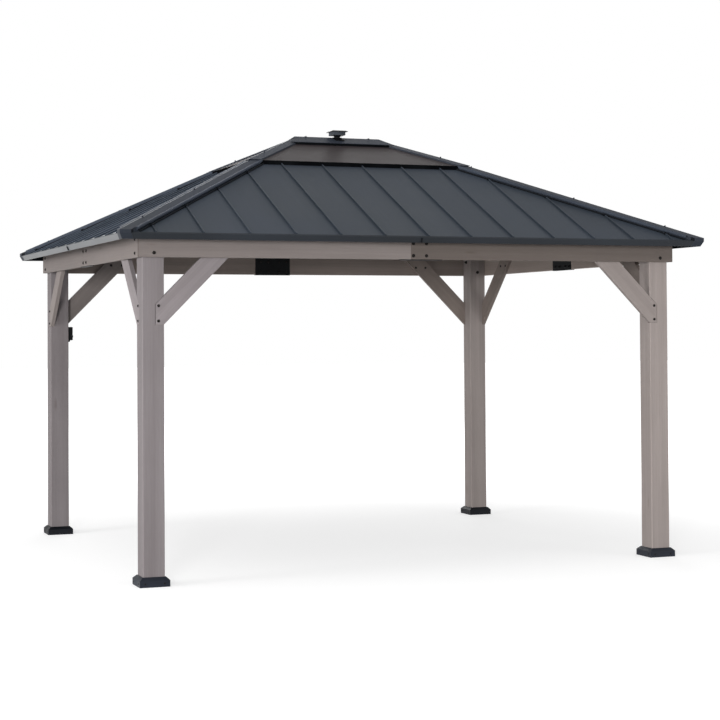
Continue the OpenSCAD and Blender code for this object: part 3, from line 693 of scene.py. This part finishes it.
def growPiece(name, tree, values, points, edges=(), facing=()):
    # Runs a tree on points or lines, keeps the result as a plain mesh and lets it ride on the frame
    seed = bpy.data.meshes.new(name)
    seed.from_pydata([tuple(point) for point in points], edges, [])
    if facing:
        turn = seed.attributes.new("facing", "FLOAT_VECTOR", "POINT")
        turn.data.foreach_set("vector", [part for way in facing for part in way])
    grown = addObject(name + "_seed", seed)
    modifier = grown.modifiers.new("growth", "NODES")
    modifier.node_group = tree
    for item in tree.interface.items_tree:
        if item.in_out == "INPUT" and item.name in values:
            modifier[item.identifier] = values[item.name]
    evaluated = grown.evaluated_get(bpy.context.evaluated_depsgraph_get())
    mesh = bpy.data.meshes.new_from_object(evaluated)
    bpy.data.objects.remove(grown)
    keepPiece(name, mesh)


def fastenerTree():
    # Washer, head, crown and a stub of thread, stacked on each point along its facing
    tree, add, given = newTree("fasteners", (
        ("Sides", "Int", 16),
        ("Washer Radius", "Float", 11 * mm), ("Washer Thickness", "Float", 1.5 * mm),
        ("Head Radius", "Float", 10 * mm), ("Head Height", "Float", 4 * mm),
        ("Shoulder Radius", "Float", 8 * mm), ("Crown Radius", "Float", 4 * mm),
        ("Crown Height", "Float", 2 * mm),
        ("Threaded", "Bool", False), ("Thread Radius", "Float", 4 * mm), ("Thread Height", "Float", 5 * mm),
        ("Head Material", "Material", None), ("Washer Material", "Material", None)))
    washer = add("GeometryNodeMeshCone", {"Vertices": 16},
                 {"Radius Bottom": given["Washer Radius"], "Radius Top": given["Washer Radius"],
                  "Depth": given["Washer Thickness"]})
    marked = add("GeometryNodeStoreNamedAttribute",
                 {"data_type": "BOOLEAN", "domain": "FACE", "Name": "isWasher", "Value": True},
                 {"Geometry": washer})
    layers = [marked]
    height = given["Washer Thickness"]
    for low, high, depth in (("Head Radius", "Shoulder Radius", "Head Height"),
                             ("Shoulder Radius", "Crown Radius", "Crown Height"),
                             ("Thread Radius", "Thread Radius", "Thread Height")):
        cone = add("GeometryNodeMeshCone", None,
                   {"Vertices": given["Sides"], "Radius Bottom": given[low], "Radius Top": given[high],
                    "Depth": given[depth]})
        lift = add("ShaderNodeCombineXYZ", None, {"Z": height})
        layers.append(add("GeometryNodeTransform", None, {"Geometry": cone, "Translation": lift}))
        height = add("ShaderNodeMath", {"operation": "ADD"}, {0: height, 1: given[depth]})
    layers[-1] = add("GeometryNodeSwitch", {"input_type": "GEOMETRY"},
                     {"Switch": given["Threaded"], "True": layers[-1]})
    shape = add("GeometryNodeJoinGeometry", None, {0: layers})
    facing = add("GeometryNodeInputNamedAttribute", {"data_type": "FLOAT_VECTOR", "Name": "facing"})
    turned = add("FunctionNodeAlignRotationToVector", {"axis": "Z"}, {"Vector": facing})
    stood = add("GeometryNodeInstanceOnPoints", None,
                {"Points": given["Geometry"], "Instance": shape, "Rotation": turned})
    real = add("GeometryNodeRealizeInstances", None, {0: stood})
    headed = add("GeometryNodeSetMaterial", None, {"Geometry": real, "Material": given["Head Material"]})
    isWasher = add("GeometryNodeInputNamedAttribute", {"data_type": "BOOLEAN", "Name": "isWasher"})
    washed = add("GeometryNodeSetMaterial", None,
                 {"Geometry": headed, "Selection": isWasher, "Material": given["Washer Material"]})
    add("NodeGroupOutput", None, {0: washed})
    return tree


def barTree():
    # A bar that follows each line, upright, with closed ends. Its section narrows by Taper towards
    # the lower edge, and Lean pushes that edge to one side of the line's way
    tree, add, given = newTree("foldedBars", (
        ("Width", "Float", 10 * mm), ("Height", "Float", 3 * mm),
        ("Taper", "Float", 0.0), ("Lean", "Float", 0.0), ("Material", "Material", None)))
    lines = add("GeometryNodeMeshToCurve", None, {0: given["Geometry"]})
    upright = add("GeometryNodeSetCurveNormal", {"mode": "Z_UP"}, {0: lines})
    narrow = add("ShaderNodeMath", {"operation": "SUBTRACT"}, {0: given["Width"], 1: given["Taper"]})
    section = add("GeometryNodeCurvePrimitiveQuadrilateral", {"mode": "TRAPEZOID"},     # its top hangs down
                  {"Bottom Width": given["Width"], "Top Width": narrow, "Height": given["Height"],
                   "Offset": given["Lean"]})
    bar = add("GeometryNodeCurveToMesh", {"Fill Caps": True}, {"Curve": upright, "Profile Curve": section})
    real = add("GeometryNodeRealizeInstances", None, {0: bar})
    painted = add("GeometryNodeSetMaterial", None, {"Geometry": real, "Material": given["Material"]})
    add("NodeGroupOutput", None, {0: painted})
    return tree


fasteners = fastenerTree()
foldedBars = barTree()

# Shares of a head's radius and height: the low dome of a carriage bolt or a pan-head screw, and a
# hexagon. Each fastener below has its head's size, and a washer and a thread as a radius and a height
dome = {"sides": 16, "shoulder": 0.8, "crown": 0.35, "wall": 0.6}
hexagon = {"sides": 6, "shoulder": 1.0, "crown": 0.42 * math.sqrt(3), "wall": 0.8}


def hexRadius(acrossFlats):
    return acrossFlats / math.sqrt(3)


def growFasteners(name, size, form, spots, head=boltSteel, washer=boltSteel):
    # A fastener on each spot, which is a point and the way it faces
    radius, height = size["radius"], size["height"]
    values = {"Sides": form["sides"], "Head Radius": radius, "Shoulder Radius": form["shoulder"] * radius,
              "Crown Radius": form["crown"] * radius, "Head Height": form["wall"] * height,
              "Crown Height": (1 - form["wall"]) * height, "Head Material": head, "Washer Material": washer}
    values["Washer Radius"], values["Washer Thickness"] = size["washer"]
    if "thread" in size:
        values["Threaded"] = True
        values["Thread Radius"], values["Thread Height"] = size["thread"]
    points, facing = zip(*spots)
    growPiece(name, fasteners, values, points, facing=facing)


def layBars(name, size, material, ends):
    # A bar between each two ends
    values = {"Width": size["width"], "Height": size["height"], "Taper": size.get("taper", 0.0),
              "Lean": size.get("lean", 0.0), "Material": material}
    growPiece(name, foldedBars, values, ends, edges=[(i, i + 1) for i in range(0, len(ends), 2)])


def spotOn(side, along, depth, height, inwards=False):
    # A fastener's place on one side, this far out from the middle, and the way it faces
    out = turnSide(side, (0, -1, 0))
    return turnSide(side, (along, -depth, height)), -out if inwards else out


# Rises are above the beams' lower edge: on the front and back sides, and then on the end sides
frameBolts = {
    "radius": 10 * mm, "height": 6 * mm, "washer": (11.5 * mm, 1.6 * mm),
    "cornerRise": ((27 * mm, 124 * mm), (27 * mm, 114 * mm)),
    "throughRise": (27 * mm, 114 * mm),                  # the one of each pair with a nut on its end
}
splices = {"along": (-57 * mm, 37 * mm), "rise": (25 * mm, 106 * mm), "plate": 4 * mm}
braceBolts = {
    "radius": 8.5 * mm, "height": 5 * mm, "washer": (9.5 * mm, 1.4 * mm),
    "footIn": 35 * mm,                                   # from the post's inner face
    "footRise": (22 * mm, 117 * mm),                     # above the brace's foot
    "headAlong": (368 * mm, 458 * mm), "headAbove": 66 * mm,
}
postNuts = {"radius": hexRadius(17 * mm), "height": 9 * mm, "washer": (13 * mm, 2 * mm),
            "thread": (5 * mm, 7 * mm)}
spliceNuts = {"radius": hexRadius(13 * mm), "height": 6 * mm, "washer": (10 * mm, 2 * mm),
              "thread": (5 * mm, 4 * mm), "moreAlong": (-120 * mm, 105 * mm)}

# Each is for the front and back sides, and then for the end sides
beamFaces = (-beamLow.y, -endBeamLow.x)
postFaces = (gazebo["halfY"], gazebo["halfX"])
postInners = (gazebo["halfX"] - gazebo["post"], gazebo["halfY"] - gazebo["post"])
postMiddles = (gazebo["halfX"] - gazebo["post"] / 2, gazebo["halfY"] - gazebo["post"] / 2)

beamSpots, braceSpots, postSpots, spliceSpots = [], [], [], []
for side in range(4):
    kind = side % 2
    beamFace, postFace, inner = beamFaces[kind], postFaces[kind], postInners[kind]
    bottom = gazebo["beamBottom"]
    for sign in (-1, 1):
        corner = sign * postMiddles[kind]
        for rise in frameBolts["cornerRise"][kind]:
            beamSpots.append(spotOn(side, corner, beamFace, bottom + rise))
        through = bottom + frameBolts["throughRise"][kind]
        postSpots.append(spotOn(side, corner, postFace - gazebo["post"], through, inwards=True))
        for rise in braceBolts["footRise"]:
            foot = sign * (inner + braceBolts["footIn"])
            braceSpots.append(spotOn(side, foot, postFace, braceLow.z + rise))
        for along in braceBolts["headAlong"]:
            head, height = sign * (inner - along), bottom + braceBolts["headAbove"]
            braceSpots.append(spotOn(side, head, postFace - gazebo["beamDepth"], height, inwards=True))
    for rise in splices["rise"]:
        for along in splices["along"]:
            beamSpots.append(spotOn(side, along, beamFace, bottom + rise))
        for along in splices["along"] + spliceNuts["moreAlong"]:
            spliceSpots.append(spotOn(side, along, postFace - splices["plate"], bottom + rise, inwards=True))

growFasteners("beam_bolts", frameBolts, dome, beamSpots)
growFasteners("brace_bolts", braceBolts, dome, braceSpots)
growFasteners("post_nuts", postNuts, hexagon, postSpots)
growFasteners("splice_nuts", spliceNuts, hexagon, spliceSpots)

# Shims that take up the notches under the feet of the braces
shims = {"width": gazebo["beamDepth"], "height": 3 * mm, "reaches": (1 * mm, 56 * mm),
         "tone": 0.8, "tint": plain}
shimCedar = stainedCedar("stainedCedar_shims", "x", shims["tone"], shims["tint"], len(boards) + 1)
shimEnds = []
for side, sign, reach in product(range(4), (-1, 1), shims["reaches"]):
    along, middle = postInners[side % 2] + reach, gazebo["beamDepth"] / 2 - postFaces[side % 2]
    shimEnds.append(turnSide(side, (sign * along, middle, braceLow.z - shims["height"] / 2)))
layBars("brace_shims", shims, shimCedar, shimEnds)
print("bolts, nuts and shims done")


seamBeads = {"width": 9.6 * mm, "height": 3 * mm, "sink": 1 * mm, "start": 20 * mm, "capClear": 4 * mm,
             "shortest": 50 * mm}
seamPlugs = {"width": 16 * mm, "height": 17 * mm, "beyondBead": (-48 * mm, -30 * mm)}

beadEnds, plugEnds = [[], [], [], []], []
beadRise = gazebo["seamHeight"] - seamBeads["sink"]
for side in range(4):
    half = sideHalf(side)
    count = int((half - seamBeads["start"]) // gazebo["seamSpacing"])
    for index in range(-count, count + 1):
        along = index * gazebo["seamSpacing"]
        end = min(gazebo["skylightIn"], half - abs(along) - seamBeads["capClear"] - gazebo["capReach"])
        if end - seamBeads["start"] < seamBeads["shortest"]:
            continue
        beadEnds[side] += [slopePoint(side, along, run, beadRise) for run in (seamBeads["start"], end)]
        if end < gazebo["skylightIn"]:
            for reach in seamPlugs["beyondBead"]:
                plugEnds.append(slopePoint(side, along, end + reach, seamPlugs["height"] / 2))

# Painted reflection: the seams on the two end slopes are drawn pale, for the sheen their edges catch
seamSteel = (roofSteel[0], coatedSteel("seamSteelPaintedSheen", "seamEndPaintedSheen", "X"))
for side, sideName in enumerate(sideNames):
    layBars("seam_beads_" + sideName, seamBeads, seamSteel[side % 2], beadEnds[side])
layBars("seam_plugs", seamPlugs, rubber, plugEnds)

# Foam strips close the hollow under the ends of the hip caps. Each flank of a cap ends in an apron
# that runs down to the sheet, drawn paler than the cap as painted light, over a dark rubber strip
# that stands in for the shadow under the cap's edge as painted shade, and rubber stops close the open
# corners at the eave. Runs are plan distances in from the eave, reaches and insets are measured along it
closures = {"width": 30 * mm, "height": 18 * mm, "runs": (26 * mm, 90 * mm), "rise": 11 * mm}
aprons = {"width": 26 * mm, "height": 29 * mm, "taper": 24 * mm, "lean": 12 * mm, "start": 32 * mm,
          "reach": 37 * mm, "rise": 19 * mm}
# Painted shade: dark rubber strips where the shadow falls under the caps' edges
capShadowStrips = {"width": 5 * mm, "height": 11 * mm, "start": 28 * mm, "inset": 6 * mm}
capStops = {"width": 5 * mm, "height": 24 * mm, "runs": (5 * mm, 40 * mm), "inset": 5 * mm, "rise": 14 * mm}
closureEnds, apronEnds, stripEnds, stopEnds = [], [], [], []
for side in range(4):
    for run in closures["runs"]:
        closureEnds.append(slopePoint(side, sideHalf(side) - run, run, closures["rise"]))
    corner = sideHalf(side) - gazebo["capReach"]
    for sign in (-1, 1):
        for run in (aprons["start"], gazebo["skylightIn"])[::sign]:      # so that both lean in under the cap
            along = corner - run - aprons["reach"] / 2
            apronEnds.append(slopePoint(side, sign * along, run, aprons["rise"]))
        for run in (capShadowStrips["start"], gazebo["skylightIn"]):
            along = corner - run - aprons["reach"] + capShadowStrips["inset"]
            stripEnds.append(slopePoint(side, sign * along, run, capShadowStrips["height"] / 2))
        for run in capStops["runs"]:
            along = corner - run + capStops["inset"]
            stopEnds.append(slopePoint(side, sign * along, run, capStops["rise"]))
layBars("hip_closures", closures, rubber, closureEnds)
layBars("cap_aprons", aprons, coatedSteel("capApronSteelPaintedLight", "apronPaintedLight"), apronEnds)
layBars("cap_painted_shadow_strips", capShadowStrips, rubber, stripEnds)
layBars("cap_stops", capStops, rubber, stopEnds)
print("seams and caps done")


roofScrews = {
    "radius": hexRadius(8 * mm), "height": 6 * mm, "washer": (6.5 * mm, 2.6 * mm),
    "hipAt": (190 * mm, 655 * mm, 1205 * mm),     # plan distances in from the eave
    "skylightAt": (1375 * mm,), "sink": 1.5 * mm,
    "lidAlong": 250 * mm, "lidDown": 10 * mm,
}
slopeNormal = Vector((0, -math.sin(slopeTurn), math.cos(slopeTurn)))
skylightNormal = Vector((0, -math.sin(skylightTurn), math.cos(skylightTurn)))
lidRise = lidHigh.z - panelHeight(gazebo["eaveY"])
screwSpots = []
for side in range(4):     # one hip leaves each side on its right
    for runs, pointOn, rise, normal in (
            (roofScrews["hipAt"], slopePoint, gazebo["capRise"], slopeNormal),
            (roofScrews["skylightAt"], panelPoint, gazebo["skylightCapRise"], skylightNormal)):
        crest = (turnSide(side, normal) + turnSide((side + 1) % 4, normal)).normalized()
        for run in runs:
            spot = pointOn(side, sideHalf(side) - run, run, rise) - crest * roofScrews["sink"]
            screwSpots.append((spot, crest))
    if side % 2 == 0:
        for sign in (-1, 1):
            lidRun = gazebo["eaveY"] - roofScrews["lidDown"]
            spot = panelPoint(side, sign * roofScrews["lidAlong"], lidRun, lidRise)
            screwSpots.append((spot, turnSide(side, skylightNormal)))
growFasteners("roof_screws", roofScrews, hexagon, screwSpots, capSteel, rubber)

# Overlap sleeves on the joints of the eave trim, whose two lengths meet off the middle of each side
sleeves = {"width": 8 * mm, "height": 8 * mm, "along": (-60 * mm, 110 * mm),
           "topIn": 2 * mm, "bottomIn": 14 * mm, "bottomRise": 2 * mm}
sleeveEnds = []
for side in range(4):
    for inset, height in ((sleeves["topIn"], gazebo["sheetEdge"]),
                          (sleeves["bottomIn"], trimLow.z + sleeves["bottomRise"])):
        sleeveEnds.append(turnSide(side, (sleeves["along"][side % 2], inset - sideRun(side), height)))
layBars("trim_sleeves", sleeves, rubber, sleeveEnds)
print("roof screws and sleeves done")


coverScrews = {"radius": 4.5 * mm, "height": 2.2 * mm, "washer": (5.5 * mm, 0.5 * mm),
               "fromMiddle": 62 * mm, "rise": 22 * mm}
coverReach = (coverHigh.x - coverLow.x) / 2
coverSpots = []
for xSign, ySign, side, sign in product((-1, 1), (-1, 1), range(4), (-1, 1)):
    middle = Vector((xSign * postMiddles[0], ySign * postMiddles[1], 0))
    spot, out = spotOn(side, sign * coverScrews["fromMiddle"], coverReach, coverScrews["rise"])
    coverSpots.append((middle + spot, out))
growFasteners("cover_screws", coverScrews, dome, coverSpots)

# Screws that hold the rafters to the kerb and to the rails, seen from below
rafterScrews = {"radius": hexRadius(10 * mm), "height": 5 * mm, "washer": (9 * mm, 1.5 * mm)}
rafterHolds = (
    {"low": kerbLow, "thickness": 30 * mm, "apart": 13 * mm, "rises": (24 * mm, 50 * mm)},
    {"low": railLow, "thickness": 40 * mm, "apart": 34 * mm, "rises": (30 * mm,)},
)
rafterSpots = []
for side, sign, hold in product(range(4), (-1, 1), rafterHolds):
    low = hold["low"]
    depth = -(low.y if side % 2 == 0 else low.x) - hold["thickness"]
    for rise in hold["rises"]:
        rafterSpots.append(spotOn(side, sign * hold["apart"], depth, low.z + rise, inwards=True))
growFasteners("rafter_screws", rafterScrews, hexagon, rafterSpots)


def roundedBlock(name, low, high, bevel):
    # A moulded block between two corners, with every edge rounded
    mesh = bpy.data.meshes.new(name)
    shape = bmesh.new()
    bmesh.ops.create_cube(shape, size=1.0)
    middle = (Vector(low) + Vector(high)) / 2
    size = Vector(high) - Vector(low)
    for vertex in shape.verts:
        vertex.co = Vector(c * d for c, d in zip(vertex.co, size)) + middle
    bmesh.ops.bevel(shape, geom=shape.edges[:], offset=bevel, segments=3, affect="EDGES", profile=0.5)
    bmesh.ops.recalc_face_normals(shape, faces=shape.faces)
    shape.to_mesh(mesh)
    shape.free()
    mesh.materials.append(boxPlastic)
    keepPiece(name, mesh)


# The switch box on the back left post: a lid with a soft edge, a rocker, a socket cap and a cable gland
switchBox = {
    "lidInset": 3 * mm, "lidSink": 1 * mm, "lidThickness": 4 * mm, "lidEdge": 2 * mm,
    "rockerSize": Vector((9 * mm, 22 * mm, 34 * mm)), "rockerDown": 32 * mm, "rockerEdge": 3 * mm,
    "screwIn": 8 * mm, "capUp": 30 * mm,
}
boxScrews = {"radius": 3 * mm, "height": 1.6 * mm, "washer": (3.4 * mm, 0.4 * mm)}
socketCap = {"radius": 13.6 * mm, "height": 6 * mm, "washer": (17 * mm, 3 * mm)}
cableGland = {"radius": 6.4 * mm, "height": 9 * mm, "washer": (8 * mm, 5 * mm)}
roundTurned = {**dome, "sides": 24}

inset, screwIn, rocker = switchBox["lidInset"], switchBox["screwIn"], switchBox["rockerSize"]
lidFace = boxHigh.x + switchBox["lidThickness"]
boxMiddle = (boxLow + boxHigh) / 2
rockerMiddle = boxHigh.z - switchBox["rockerDown"]
rockerLow = Vector((boxHigh.x, boxMiddle.y - rocker.y / 2, rockerMiddle - rocker.z / 2))
outOfLid, down = Vector((1, 0, 0)), Vector((0, 0, -1))
corners = [(Vector((lidFace, y, z)), outOfLid) for y in (boxLow.y + screwIn, boxHigh.y - screwIn)
           for z in (boxLow.z + screwIn, boxHigh.z - screwIn)]
capSpot = Vector((lidFace, boxMiddle.y, boxLow.z + switchBox["capUp"]))
glandSpot = Vector((boxMiddle.x, boxMiddle.y, boxLow.z))
roundedBlock("switch_box_lid", (boxHigh.x - switchBox["lidSink"], boxLow.y + inset, boxLow.z + inset),
             (lidFace, boxHigh.y - inset, boxHigh.z - inset), switchBox["lidEdge"])
roundedBlock("switch_box_rocker", rockerLow, rockerLow + rocker, switchBox["rockerEdge"])
growFasteners("switch_box_screws", boxScrews, dome, corners)
for name, size, spot in (("switch_box_cap", socketCap, (capSpot, outOfLid)),
                         ("switch_box_gland", cableGland, (glandSpot, down))):
    growFasteners(name, size, roundTurned, [spot], boxPlastic, boxPlastic)

# Screws in the lamp's saddle, two on each slope of the lid
lampScrews = {"radius": 3.5 * mm, "height": 2.4 * mm, "washer": (5 * mm, 0.6 * mm),
              "along": 27 * mm, "down": 60 * mm, "saddle": 3 * mm}      # the saddle's thickness
lampSpots = []
lampRun, lampRise = gazebo["eaveY"] - lampScrews["down"], lidRise + lampScrews["saddle"]
for side, sign in product((0, 2), (-1, 1)):
    spot = panelPoint(side, sign * lampScrews["along"], lampRun, lampRise)
    lampSpots.append((spot, turnSide(side, skylightNormal)))
growFasteners("lamp_screws", lampScrews, dome, lampSpots)
print("small parts done")
